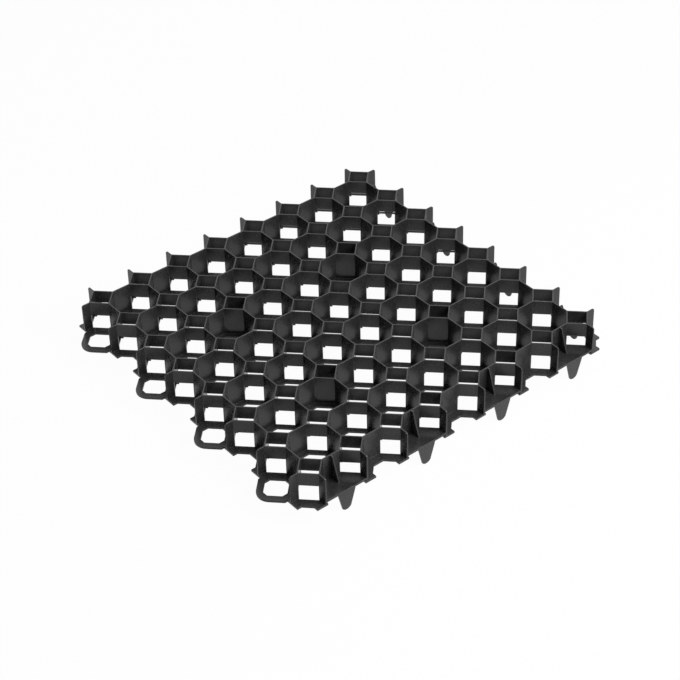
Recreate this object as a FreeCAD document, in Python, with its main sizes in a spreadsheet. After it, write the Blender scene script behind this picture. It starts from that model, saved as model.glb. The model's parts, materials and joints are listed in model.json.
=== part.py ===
import FreeCAD, Part
import math
import os
import Sketcher

# A grass paver grid tile, moulded in one piece: a holed base sheet, walls that form octagonal cells
# between turned square tubes, joining loops on two sides and bridged bays with pegs on the other two.
# Lengths are in millimetres. X and Y run along the tile's sides and Z is up. The base sheet stands on
# z = 0 while the tile is drawn; the finished tile is raised to bring its peg tips there.

SIZES = [
    ("cell_pitch", 62.5),
    ("cells_across", 8),
    ("edge_gap", 1.0),
    ("rim_height", 42.0),
    ("base_thickness", 3.0),
    ("opening_across", 45.0),
    ("side_opening_across", 35.5),
    ("wall_at_rim", 1.8),
    ("wall_at_foot", 2.8),
    ("wall_end_radius", 3.0),
    ("tube_bore", 24.0),
    ("window_top", 24.0),
    ("pillar_inset_cells", 2),
    ("loop_setback", 4.3),
    ("loop_hole_across", 29.0),
    ("loop_hole_length", 33.2),
    ("loop_bar", 8.8),
    ("loop_nose_radius", 17.5),
    ("loop_half_width", 26.0),
    ("loop_neck", 3.0),
    ("loop_root", 21.0),
    ("bay_across", 57.0),
    ("bridge_underside", 5.0),
    ("bridge_thickness", 3.0),
    ("rib_thickness", 2.0),
    ("rib_top_length", 4.5),
    ("rib_foot_length", 15.5),
    ("peg_root_width", 26.0),
    ("peg_shoulder_width", 13.2),
    ("peg_shoulder_depth", 20.5),
    ("peg_depth", 24.5),
    ("peg_thickness", 2.8),
    ("peg_tip_thickness", 1.6),
]

doc = FreeCAD.newDocument("grass_grid_tile")
sheet = doc.addObject("Spreadsheet::Sheet", "Sizes")
for row, (alias, value) in enumerate(SIZES, start=1):
    sheet.set(f"A{row}", alias)
    sheet.set(f"B{row}", str(value))
    sheet.setAlias(f"B{row}", alias)
doc.recompute()


def size(text):
    """Write out an expression in which a word between angle brackets is a cell of the sheet."""
    return text.replace("<", "Sizes.").replace(">", "")


SPAN = size("(<cell_pitch> * <cells_across> / 2)")
HALF_PITCH = size("(<cell_pitch> / 2)")
FIRST_TUBE = f"({HALF_PITCH} - {SPAN})"
FIRST_PILLAR = size(f"({FIRST_TUBE} + <cell_pitch> * <pillar_inset_cells>)")
FIRST_JOINT = size(f"(<cell_pitch> - {SPAN})")
STRIP_TOP = size(f"(2 * <cell_pitch> - {SPAN})")
BAY_SIDE = f"({HALF_PITCH} * tan(22.5))"
TUBE_DRAFT = size("atan((<wall_at_foot> - <wall_at_rim>) / (<rim_height> - <base_thickness>))")
TUBE_FOOT = size("(<tube_bore> / 2 + <wall_at_foot>)")
RIM = size("<rim_height>")
PITCH = size("<cell_pitch>")
TWO_PITCHES = size("(2 * <cell_pitch>)")
JOINTS = size("(<cells_across> / 2)")
UPRIGHT_TOLERANCE = 0.01
UNDERSIDE = size("<bridge_underside>")
BRIDGE_TOP = size("(<bridge_underside> + <bridge_thickness>)")
BRIDGE_FACE = size(f"({SPAN} - <edge_gap>)")


def new_body(name):
    body = doc.addObject("PartDesign::Body", name)
    body.AllowCompound = True
    return body


def datum(body, role):
    return next(feature for feature in body.Origin.OriginFeatures if feature.Role == role)


def new_sketch(body, name, plane="XY_Plane", offset=None):
    """Start a sketch on one of a body's planes, moved along that plane's normal by an expression."""
    sketch = body.newObject("Sketcher::SketchObject", name)
    sketch.AttachmentSupport = (datum(body, plane), [""])
    sketch.MapMode = "FlatFace"
    if offset:
        sketch.setExpression("AttachmentOffset.Base.z", offset)
    doc.recompute()
    return sketch


def point_of(sketch, corner):
    return FreeCAD.Vector(*(float(sketch.evalExpression(part)) for part in corner), 0)


def hold(sketch, edge, place, kind, expression):
    """Fix one coordinate of a sketch point at an expression."""
    value = float(sketch.evalExpression(expression))
    index = sketch.addConstraint(Sketcher.Constraint(kind, -1, 1, edge, place, value))
    sketch.setExpression(f"Constraints[{index}]", expression)


def draw_outline(sketch, corners, arcs=None):
    """Draw a closed outline through corners; arcs maps a side's index to the centre of its arc."""
    arcs = arcs or {}
    points = [point_of(sketch, corner) for corner in corners]
    lines = {}
    for index, start in enumerate(points):
        if index not in arcs:
            end = points[(index + 1) % len(points)]
            lines[index] = sketch.addGeometry(Part.LineSegment(start, end), False)
    for index, line in lines.items():
        following = (index + 1) % len(points)
        hold(sketch, line, 1, "DistanceX", corners[index][0])
        hold(sketch, line, 1, "DistanceY", corners[index][1])
        if following in lines:
            sketch.addConstraint(Sketcher.Constraint("Coincident", line, 2, lines[following], 1))
        else:
            hold(sketch, line, 2, "DistanceX", corners[following][0])
            hold(sketch, line, 2, "DistanceY", corners[following][1])
    for index, centre_corner in arcs.items():
        before = lines[(index - 1) % len(points)]
        after = lines[(index + 1) % len(points)]
        centre = point_of(sketch, centre_corner)
        start = points[index] - centre
        end = points[(index + 1) % len(points)] - centre
        ends = [(before, 2, start), (after, 1, end)]
        if start.cross(end).z < 0:
            ends.reverse()
        circle = Part.Circle(centre, FreeCAD.Vector(0, 0, 1), start.Length)
        angles = [math.atan2(radius.y, radius.x) for line, place, radius in ends]
        arc = sketch.addGeometry(Part.ArcOfCircle(circle, *angles), False)
        for arc_place, (line, place, radius) in enumerate(ends, start=1):
            sketch.addConstraint(Sketcher.Constraint("Coincident", arc, arc_place, line, place))
        hold(sketch, arc, 3, "DistanceY", centre_corner[1])


def moved(corners, x, y):
    return [(f"({x} + {across})", f"({y} + {up})") for across, up in corners]


def turned(corners):
    """Turn corners by an eighth of a turn about the origin."""
    return [(f"(({u} - {v}) / sqrt(2))", f"(({u} + {v}) / sqrt(2))") for u, v in corners]


def signed(*corners):
    """Give each corner brackets, so that a minus sign in it stays with it."""
    return [(f"({x})", f"({y})") for x, y in corners]


def octagon(flat, half_side):
    """Corners of an octagon with flats on X and Y."""
    return signed(
        (flat, half_side), (half_side, flat),
        (f"-{half_side}", flat), (f"-{flat}", half_side),
        (f"-{flat}", f"-{half_side}"), (f"-{half_side}", f"-{flat}"),
        (half_side, f"-{flat}"), (flat, f"-{half_side}"),
    )


def square(half):
    return signed((half, half), (f"-{half}", half), (f"-{half}", f"-{half}"), (half, f"-{half}"))


def extrude(body, kind, name, sketch, length, **settings):
    """Add a pad or a pocket to a body."""
    feature = body.newObject(f"PartDesign::{kind}", name)
    feature.Profile = (sketch, [""])
    feature.setExpression("Length", length)
    for setting, value in settings.items():
        setattr(feature, setting, value)
    doc.recompute()
    return feature


def upright_faces(feature):
    """Name the faces of a plain block that stand upright."""
    up = FreeCAD.Vector(0, 0, 1)
    return [
        f"Face{index}" for index, face in enumerate(feature.Shape.Faces, start=1)
        if not face.normalAt(0, 0).isParallel(up, UPRIGHT_TOLERANCE)
    ]


def add_tube(body, place):
    """Stand a square tube's block corner to corner with the walls, its sides leaning in for draft."""
    sketch = new_sketch(body, f"{body.Name}TubeSketch")
    draw_outline(sketch, moved(turned(square(TUBE_FOOT)), place, place))
    block = extrude(body, "Pad", f"{body.Name}Tube", sketch, RIM)
    foot = body.newObject("PartDesign::Plane", f"{body.Name}Foot")
    foot.AttachmentSupport = (datum(body, "XY_Plane"), [""])
    foot.MapMode = "FlatFace"
    foot.setExpression("AttachmentOffset.Base.z", size("<base_thickness>"))
    draft = body.newObject("PartDesign::Draft", f"{body.Name}Draft")
    draft.Base = (block, upright_faces(block))
    draft.NeutralPlane = (foot, [""])
    draft.setExpression("Angle", TUBE_DRAFT)
    doc.recompute()


def bore_tube(body, place):
    sketch = new_sketch(body, f"{body.Name}BoreSketch")
    draw_outline(sketch, moved(turned(square(size("(<tube_bore> / 2)"))), place, place))
    extrude(body, "Pocket", f"{body.Name}Bore", sketch, RIM, Reversed=True)


def repeat(body, name, axis, count, spacing, original=None, merge=False):
    """Repeat a feature, or the whole body so far, in a row along an axis."""
    pattern = body.newObject("PartDesign::LinearPattern", name)
    if original:
        pattern.Originals = [original]
    else:
        pattern.TransformMode = "Whole shape"
    pattern.Refine = merge
    pattern.Direction = (datum(body, axis), [""])
    pattern.Mode = "Spacing"
    pattern.setExpression("Occurrences", count)
    pattern.setExpression("Offset", spacing)
    body.Tip = pattern
    doc.recompute()


def mirror_on_diagonal(body):
    """Mirror the whole body on the upright plane through the tile's diagonal."""
    diagonal = body.newObject("PartDesign::Plane", f"{body.Name}Diagonal")
    diagonal.AttachmentSupport = (datum(body, "XZ_Plane"), [""])
    diagonal.MapMode = "FlatFace"
    eighth_turn = FreeCAD.Rotation(FreeCAD.Vector(0, 1, 0), 45)
    diagonal.AttachmentOffset = FreeCAD.Placement(FreeCAD.Vector(), eighth_turn)
    mirror = body.newObject("PartDesign::Mirrored", f"{body.Name}Mirror")
    mirror.TransformMode = "Whole shape"
    mirror.MirrorPlane = (diagonal, [""])
    body.Tip = mirror
    doc.recompute()


def both_sides(body, axis):
    """Repeat a joining part along its own side, and mirror that row onto the neighbouring side."""
    repeat(body, f"{body.Name}Row", axis, JOINTS, TWO_PITCHES)
    mirror_on_diagonal(body)


def trim_end(body, name, plane, boundary, outward):
    """Cut a side back by the gap to the next tile and round off its half walls' top corners."""
    edge = size(f"({boundary} - {outward} * <edge_gap>)")
    outside = size(f"({boundary} + {outward} * <edge_gap>)")
    inside = size(f"({edge} - {outward} * <wall_end_radius>)")
    corner_height = size("(<rim_height> - <wall_end_radius>)")
    sketch = new_sketch(body, f"{name}Sketch", plane)
    draw_outline(
        sketch,
        [(edge, "0"), (edge, corner_height), (inside, RIM), (outside, RIM), (outside, "0")],
        arcs={1: (inside, corner_height)},
    )
    extrude(body, "Pocket", name, sketch, f"2 * {SPAN}", SideType="Symmetric", Refine=False)


def draw_octagons(sketch, across, centres):
    """Draw octagons of the given size about each of the centres."""
    flat = size(f"(<{across}> / 2)")
    for x, y in centres:
        draw_outline(sketch, moved(octagon(flat, f"({flat} * tan(22.5))"), x, y))


def cut_octagons(body, name, across, centres):
    """Cut octagonal openings through the base sheet."""
    sketch = new_sketch(body, f"{name}Sketch")
    draw_octagons(sketch, across, centres)
    return extrude(body, "Pocket", name, sketch, size("<base_thickness>"), Reversed=True, Refine=False)


def strip(name, first_row):
    """Start a body from the strip of cells, standing the given number of rows up the tile."""
    body = new_body(name)
    body.BaseFeature = cells
    body.setExpression("Placement.Base.y", size(f"<cell_pitch> * ({first_row})"))
    doc.recompute()
    return body


# One cell of the grid: a square tube on its piece of base sheet, with half a wall running out from each
# corner. The base has a quarter of an octagonal opening at each corner of the cell.
cells = new_body("Cells")
add_tube(cells, FIRST_TUBE)
base_sketch = new_sketch(cells, "BaseSketch")
draw_outline(base_sketch, moved(square(HALF_PITCH), FIRST_TUBE, FIRST_TUBE))
extrude(cells, "Pad", "Base", base_sketch, size("<base_thickness>"))

cell_ends = (f"-{SPAN}", FIRST_JOINT)
cut_octagons(cells, "Openings", "opening_across", [(x, y) for x in cell_ends for y in cell_ends])

wall_foot = size("(<wall_at_foot> / 2)")
wall_rim = size("(<wall_at_rim> / 2)")
for along, plane, middle in (("X", "YZ_Plane", FIRST_TUBE), ("Y", "XZ_Plane", f"-{FIRST_TUBE}")):
    wall_sketch = new_sketch(cells, f"WallAlong{along}Sketch", plane, middle)
    draw_outline(wall_sketch, [
        (f"({FIRST_TUBE} - {wall_foot})", "0"), (f"({FIRST_TUBE} + {wall_foot})", "0"),
        (f"({FIRST_TUBE} + {wall_rim})", RIM), (f"({FIRST_TUBE} - {wall_rim})", RIM),
    ])
    extrude(cells, "Pad", f"WallAlong{along}", wall_sketch, PITCH, SideType="Symmetric")

bore_tube(cells, FIRST_TUBE)

# A window low in each tube wall, as wide as the bore, lets roots and water pass.
half = size("(<tube_bore> / 2)")
window_sketch = new_sketch(cells, "WindowSketch")
draw_outline(window_sketch, moved(turned(signed(
    (TUBE_FOOT, half), (half, half), (half, TUBE_FOOT),
    (f"-{half}", TUBE_FOOT), (f"-{half}", half), (f"-{TUBE_FOOT}", half),
    (f"-{TUBE_FOOT}", f"-{half}"), (f"-{half}", f"-{half}"), (f"-{half}", f"-{TUBE_FOOT}"),
    (half, f"-{TUBE_FOOT}"), (half, f"-{half}"), (TUBE_FOOT, f"-{half}"),
)), FIRST_TUBE, FIRST_TUBE))
extrude(cells, "Pocket", "Windows", window_sketch, size("<window_top>"), Reversed=True)

# Cells join into a strip of two rows, which has a bay in the middle of its end at positive X.
repeat(cells, "Row", "X_Axis", size("<cells_across>"), PITCH, merge=True)
trim_end(cells, "NearEnd", "XZ_Plane", f"-{SPAN}", "-1")
trim_end(cells, "FarEnd", "XZ_Plane", SPAN, "1")
repeat(cells, "Strip", "Y_Axis", "2", PITCH)
cut_octagons(cells, "EndBay", "bay_across", [(SPAN, FIRST_JOINT)])

# Strips stack into the tile. The first and the last have sides of their own, and the last has bays there.
first_strip = strip("FirstStrip", "0")
trim_end(first_strip, "NearSide", "YZ_Plane", f"-{SPAN}", "-1")
inner_strips = strip("InnerStrips", "2")
repeat(inner_strips, "InnerStripRows", "Y_Axis", size("<cells_across> / 2 - 2"), TWO_PITCHES)
last_strip = strip("LastStrip", "<cells_across> - 2")
trim_end(last_strip, "FarSide", "YZ_Plane", STRIP_TOP, "1")
side_bay = cut_octagons(last_strip, "SideBay", "bay_across", [(FIRST_JOINT, STRIP_TOP)])
repeat(last_strip, "SideBays", "X_Axis", JOINTS, TWO_PITCHES, side_bay)

# A flange narrows the open halves of cells between the joints along all four sides.
flange = new_body("Flange")
flange_sketch = new_sketch(flange, "FlangeSketch")
for across in ("opening_across", "side_opening_across"):
    draw_octagons(flange_sketch, across, [(f"-{SPAN}", f"-{SPAN}")])
extrude(flange, "Pad", "FlangePad", flange_sketch, size("<base_thickness>"))
repeat(flange, "FlangeRow", "X_Axis", f"{JOINTS} + 1", TWO_PITCHES)
repeat(flange, "FlangeRows", "Y_Axis", "2", f"2 * {SPAN}")
mirror_on_diagonal(flange)
edge_sketch = new_sketch(flange, "FlangeEdgeSketch")
draw_outline(edge_sketch, square(size(f"({SPAN} + <opening_across>)")))
draw_outline(edge_sketch, square(size(f"({SPAN} - <edge_gap>)")))
extrude(flange, "Pocket", "FlangeEdge", edge_sketch, size("<base_thickness>"), Reversed=True)

# Four of the tubes have closed walls and serve as pillars.
pillar = new_body("Pillar")
add_tube(pillar, FIRST_PILLAR)
bore_tube(pillar, FIRST_PILLAR)
pillar_spacing = size("<cell_pitch> * (<cells_across> - 1 - 2 * <pillar_inset_cells>)")
repeat(pillar, "PillarRow", "X_Axis", "2", pillar_spacing)
repeat(pillar, "Pillars", "Y_Axis", "2", pillar_spacing)

# Joining loops lie level with the base sheet on the two sides at negative X and Y.
loop = new_body("Loop")
loop_reach = size("((<loop_hole_across> / 2 + <loop_bar>) * sqrt(2))")
nose_centre = size(f"(<loop_nose_radius> * sqrt(2) - {loop_reach})")
nose_half = size("(<loop_nose_radius> / sqrt(2))")
loop_side = size("<loop_half_width>")
root_side = size("(<loop_root> * tan(22.5))")
neck = size("<loop_neck>")
loop_centre = size(f"(<loop_setback> - {SPAN})")
loop_sketch = new_sketch(loop, "LoopSketch")
draw_outline(
    loop_sketch,
    moved(signed(
        (f"-{loop_side}", neck), (f"-{loop_side}", f"{loop_side} - {loop_reach}"),
        (f"-{nose_half}", f"{nose_centre} - {nose_half}"), (nose_half, f"{nose_centre} - {nose_half}"),
        (loop_side, f"{loop_side} - {loop_reach}"), (loop_side, neck),
        (size("<loop_root>"), root_side), (root_side, size("<loop_root>")),
        (f"-{root_side}", size("<loop_root>")), (size("-<loop_root>"), root_side),
    ), FIRST_JOINT, loop_centre),
    arcs={2: (FIRST_JOINT, f"({nose_centre} + {loop_centre})")},
)
extrude(loop, "Pad", "LoopPad", loop_sketch, size("<base_thickness>"))
hole_flat = size("(<loop_hole_length> / 2)")
hole_side = size(f"(<loop_hole_across> / sqrt(2) - {hole_flat})")
hole_sketch = new_sketch(loop, "LoopHoleSketch")
draw_outline(hole_sketch, moved(octagon(hole_flat, hole_side), FIRST_JOINT, loop_centre))
extrude(loop, "Pocket", "LoopHole", hole_sketch, size("<base_thickness>"), Reversed=True)
both_sides(loop, "X_Axis")

# A raised bridge closes each bay on the other two sides, so that it clears a neighbouring tile's loop.
# A rib braces the bridge to the wall behind. A tapering peg hangs from its outer edge, with a face that
# slopes back to a thin rounded tip.
bridge = new_body("Bridge")
bridge_sketch = new_sketch(bridge, "BridgeSketch", offset=UNDERSIDE)
draw_outline(bridge_sketch, [
    (BRIDGE_FACE, f"({FIRST_JOINT} - {HALF_PITCH})"), (BRIDGE_FACE, f"({FIRST_JOINT} + {HALF_PITCH})"),
    (f"({SPAN} - {BAY_SIDE})", f"({FIRST_JOINT} + {HALF_PITCH})"),
    (f"({SPAN} - {HALF_PITCH})", f"({FIRST_JOINT} + {BAY_SIDE})"),
    (f"({SPAN} - {HALF_PITCH})", f"({FIRST_JOINT} - {BAY_SIDE})"),
    (f"({SPAN} - {BAY_SIDE})", f"({FIRST_JOINT} - {HALF_PITCH})"),
])
extrude(bridge, "Pad", "BridgePad", bridge_sketch, size("<bridge_thickness>"))

rib_root = f"({SPAN} - {HALF_PITCH})"
rib_foot = size(f"({rib_root} + <rib_foot_length>)")
rib_sketch = new_sketch(bridge, "RibSketch", "XZ_Plane", f"-{FIRST_JOINT}")
draw_outline(rib_sketch, [
    (rib_root, UNDERSIDE), (rib_root, RIM), (size(f"({rib_root} + <rib_top_length>)"), RIM),
    (rib_foot, BRIDGE_TOP), (rib_foot, UNDERSIDE),
])
extrude(bridge, "Pad", "Rib", rib_sketch, size("<rib_thickness>"), SideType="Symmetric")

peg_root = size("(<peg_root_width> / 2)")
peg_end = size("(<peg_shoulder_width> / 2)")
shoulder = size("(-<peg_shoulder_depth>)")
tip_rise = size("(<peg_depth> - <peg_shoulder_depth>)")
tip_centre = f"({shoulder} + ({peg_end} * {peg_end} - {tip_rise} * {tip_rise}) / (2 * {tip_rise}))"
peg_sketch = new_sketch(bridge, "PegSketch", "YZ_Plane", BRIDGE_FACE)
draw_outline(
    peg_sketch,
    moved(signed(
        (f"-{peg_root}", BRIDGE_TOP), (f"-{peg_root}", UNDERSIDE), (f"-{peg_end}", shoulder),
        (peg_end, shoulder), (peg_root, UNDERSIDE), (peg_root, BRIDGE_TOP),
    ), FIRST_JOINT, "0"),
    arcs={2: (FIRST_JOINT, tip_centre)},
)
extrude(bridge, "Pad", "Peg", peg_sketch, size("<peg_thickness>"), Reversed=True)
slope_sketch = new_sketch(bridge, "PegSlopeSketch", "XZ_Plane", f"-{FIRST_JOINT}")
tip_face = size(f"({BRIDGE_FACE} - <peg_thickness> + <peg_tip_thickness>)")
tip = size("(-<peg_depth>)")
draw_outline(slope_sketch, [(BRIDGE_FACE, "0"), (tip_face, tip), (BRIDGE_FACE, tip)])
extrude(bridge, "Pocket", "PegSlope", slope_sketch, size("<peg_root_width>"), SideType="Symmetric")
both_sides(bridge, "Y_Axis")

tile = doc.addObject("Part::MultiFuse", "Tile")
tile.Label = "grass_grid_tile"
tile.Shapes = [first_strip, inner_strips, last_strip, flange, pillar, loop, bridge]
tile.Refine = False
nose_reach = size(f"({loop_reach} - <loop_nose_radius> * (sqrt(2) - 1) - <loop_setback>)")
middle = size(f"(({nose_reach} + <edge_gap>) / 2)")
tile.setExpression("Placement.Base.x", middle)
tile.setExpression("Placement.Base.y", middle)
tile.setExpression("Placement.Base.z", size("<peg_depth>"))
doc.recompute()

for item in doc.Objects:
    if "Invalid" in item.State or "Error" in item.State:
        raise RuntimeError(f"{item.Name} did not recompute: {item.State}")
if tile.Shape.isNull() or not tile.Shape.isValid() or len(tile.Shape.Solids) != 1:
    raise RuntimeError("the tile is not one valid solid")

os.makedirs("parts", exist_ok=True)
tile.Shape.exportStep(f"parts/{tile.Label}.step")
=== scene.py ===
import json
import math

import bpy
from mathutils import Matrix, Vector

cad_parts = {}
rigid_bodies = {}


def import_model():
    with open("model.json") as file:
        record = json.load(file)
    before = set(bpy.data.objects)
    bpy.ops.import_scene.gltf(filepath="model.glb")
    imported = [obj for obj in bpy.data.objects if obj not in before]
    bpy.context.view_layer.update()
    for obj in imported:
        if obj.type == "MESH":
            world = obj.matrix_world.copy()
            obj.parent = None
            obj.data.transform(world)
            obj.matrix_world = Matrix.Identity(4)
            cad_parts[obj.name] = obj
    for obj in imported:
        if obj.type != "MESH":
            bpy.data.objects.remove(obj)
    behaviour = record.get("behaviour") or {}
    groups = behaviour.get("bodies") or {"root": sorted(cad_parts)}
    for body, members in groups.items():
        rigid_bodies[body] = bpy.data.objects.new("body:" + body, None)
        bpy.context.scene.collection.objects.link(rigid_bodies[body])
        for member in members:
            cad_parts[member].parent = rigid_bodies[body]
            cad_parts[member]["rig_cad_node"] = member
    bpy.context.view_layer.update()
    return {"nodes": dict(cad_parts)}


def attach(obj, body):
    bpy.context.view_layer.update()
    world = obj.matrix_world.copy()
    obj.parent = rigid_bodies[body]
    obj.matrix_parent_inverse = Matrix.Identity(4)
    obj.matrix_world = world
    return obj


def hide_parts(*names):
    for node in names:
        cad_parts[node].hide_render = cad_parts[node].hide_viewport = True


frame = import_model()

# The paver tile is a single moulding of black recycled plastic: base sheet, walls, tubes, loops and pegs
# come out of the mould together. Its edges are a little soft, as the mould's own corners are.
SAME_POINT = 1e-6
FLAT = math.radians(0.5)
SOFT_EDGE = 0.0003
SHARP_CORNER = math.radians(28)

bpy.ops.object.select_all(action="DESELECT")
moulding = frame["nodes"]["grass_grid_tile"]
moulding.select_set(True)
bpy.context.view_layer.objects.active = moulding
bpy.ops.object.duplicate()
tile = bpy.context.object
tile.name = "grass_grid"
del tile["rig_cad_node"]

# The flat faces are joined up, then split where they are hollow, which keeps the softened edges clean.
bpy.ops.object.mode_set(mode="EDIT")
bpy.ops.mesh.select_all(action="SELECT")
bpy.ops.mesh.customdata_custom_splitnormals_clear()
bpy.ops.mesh.remove_doubles(threshold=SAME_POINT)
bpy.ops.mesh.dissolve_limited(angle_limit=FLAT)
bpy.ops.mesh.vert_connect_concave()
bpy.ops.object.mode_set(mode="OBJECT")
bpy.ops.object.shade_smooth()

softening = tile.modifiers.new("softened_edges", "BEVEL")
softening.width = SOFT_EDGE
softening.segments = 2
softening.limit_method = "ANGLE"
softening.angle_limit = SHARP_CORNER
softening.use_clamp_overlap = False
softening.harden_normals = True
bpy.ops.object.modifier_apply(modifier=softening.name)


class Shade:
    """A value in a material's nodes. Sums and products of it become Math nodes."""

    def __init__(self, nodes, socket=None):
        self.nodes = nodes
        self.socket = socket

    def add(self, kind, settings=None, sockets=None, output=0):
        """Add any node, with its settings made first and its sockets then given values or links."""
        node = self.nodes.nodes.new(kind)
        for name, value in (settings or {}).items():
            setattr(node, name, value)
        for name, value in (sockets or {}).items():
            if isinstance(value, Shade):
                self.nodes.links.new(value.socket, node.inputs[name])
            else:
                node.inputs[name].default_value = value
        return Shade(self.nodes, node.outputs[output] if node.outputs else None)

    def math(self, operation, first, second):
        return self.add("ShaderNodeMath", {"operation": operation}, {0: first, 1: second})

    def __add__(self, other):
        return self.math("ADD", self, other)

    def __radd__(self, other):
        return self.math("ADD", other, self)

    def __mul__(self, other):
        return self.math("MULTIPLY", self, other)

    def __rmul__(self, other):
        return self.math("MULTIPLY", other, self)


def finish_of(name):
    """Start an empty material."""
    material = bpy.data.materials.new(name)
    material.use_nodes = True
    material.node_tree.nodes.clear()
    return material, Shade(material.node_tree)


DENSE_BLACK = (0.007, 0.007, 0.0073, 1)
WORN_BLACK = (0.042, 0.042, 0.043, 1)
DRAWN_UPWARDS = (420.0, 420.0, 14.0)

plastic, shade = finish_of("black_recycled_plastic")
place = shade.add("ShaderNodeTexCoord", output="Object")
blotches = shade.add("ShaderNodeTexNoise", sockets={"Vector": place, "Scale": 26.0, "Detail": 4.0})
mottle = shade.add("ShaderNodeTexNoise", sockets={"Vector": place, "Scale": 260.0, "Detail": 3.0})
grain = shade.add("ShaderNodeTexNoise", sockets={"Vector": place, "Scale": 900.0, "Detail": 3.0})
drawn = shade.add("ShaderNodeMapping", sockets={"Vector": place, "Scale": DRAWN_UPWARDS})
drag_marks = shade.add("ShaderNodeTexNoise", sockets={"Vector": drawn, "Scale": 1.0, "Detail": 2.0})

pigment = 0.45 * blotches + 0.55 * mottle
colour = shade.add(
    "ShaderNodeMix", {"data_type": "RGBA"}, {0: pigment, 6: DENSE_BLACK, 7: WORN_BLACK}, output=2,
)
roughness = 0.08 + 0.1 * blotches + 0.16 * mottle + 0.08 * drag_marks
relief = 0.3 * mottle + 0.45 * grain + 0.25 * drag_marks
bump = shade.add("ShaderNodeBump", sockets={"Height": relief, "Strength": 0.3, "Distance": 0.0004})
plastic_surface = shade.add("ShaderNodeBsdfPrincipled", sockets={
    "Base Color": colour, "Roughness": roughness, "Normal": bump, "Specular IOR Level": 0.34,
})
shade.add("ShaderNodeOutputMaterial", sockets={"Surface": plastic_surface})

tile.data.materials.clear()
tile.data.materials.append(plastic)
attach(tile, "root")
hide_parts("grass_grid_tile")

# The studio floor is a broad sheet of white paper laid under the tile. It looks white to the camera and
# in reflections, and keeps a faint shadow of the tile.
FLOOR_WIDTH = 12.0
FLOOR_WHITENESS = 0.97


def white_to(shade):
    """One for the rays that should meet a white studio: those of the camera, of gloss and of glass."""
    return (
        shade.add("ShaderNodeLightPath", output="Is Camera Ray")
        + shade.add("ShaderNodeLightPath", output="Is Glossy Ray")
        + shade.add("ShaderNodeLightPath", output="Is Transmission Ray")
    )


bpy.ops.mesh.primitive_plane_add(size=FLOOR_WIDTH, location=(0.0, 0.0, 0.0))
floor = bpy.context.object
floor.name = "studio_floor"
paper, shade = finish_of("white_floor")
lit = shade.add("ShaderNodeBsdfDiffuse", sockets={"Color": (0.8, 0.8, 0.8, 1)})
white = shade.add("ShaderNodeEmission", sockets={"Color": (1, 1, 1, 1), "Strength": 1.0})
floor_surface = shade.add("ShaderNodeMixShader", sockets={0: FLOOR_WHITENESS * white_to(shade), 1: lit, 2: white})
shade.add("ShaderNodeOutputMaterial", sockets={"Surface": floor_surface})
floor.data.materials.append(paper)

# The room around is white as well, to the same rays, and lights the tile only weakly: the light itself
# comes from the panels below.
world = bpy.data.worlds.new("white_room")
world.use_nodes = True
world.node_tree.nodes.clear()
bpy.context.scene.world = world
shade = Shade(world.node_tree)
walls = shade.add("ShaderNodeBackground", sockets={"Color": (1, 1, 1, 1), "Strength": 1.0})
air = shade.add("ShaderNodeBackground", sockets={"Color": (1, 1, 1, 1), "Strength": 0.1})
room = shade.add("ShaderNodeMixShader", sockets={0: white_to(shade), 1: air, 2: walls})
shade.add("ShaderNodeOutputWorld", sockets={"Surface": room})

# Three soft studio panels, each turned to the middle of the tile: the main one to the right of the camera,
# one overhead, and a broad one behind the tile, whose reflection brings out the rims.
PANELS = [
    # name, place, width, power
    ("main_panel", (1.59, 0.58, 1.42), 1.2, 45.0),
    ("top_panel", (0.30, 0.30, 2.40), 1.2, 10.0),
    ("back_panel", (-2.04, 1.59, 1.88), 2.6, 14.0),
]
for name, spot, width, power in PANELS:
    bpy.ops.object.light_add(type="AREA", location=spot)
    panel = bpy.context.object
    panel.name = name
    panel.data.size = width
    panel.data.energy = power
    to_tile = -Vector(spot)
    panel.rotation_euler = to_tile.to_track_quat("-Z", "Y").to_euler()

# The camera stands where the photograph was taken from: off a corner between a looped and a pegged side,
# looking down on the tile through a long lens.
bpy.ops.object.camera_add(
    location=(1.547516, -1.197092, 1.531254),
    rotation=(math.radians(52.1412), math.radians(1.2594), math.radians(50.7321)),
)
camera = bpy.context.object
camera.data.lens = 100.0
camera.data.sensor_width = 36.0
camera.data.clip_end = 40.0
bpy.context.scene.camera = camera
bpy.context.scene.view_settings.view_transform = "Standard"
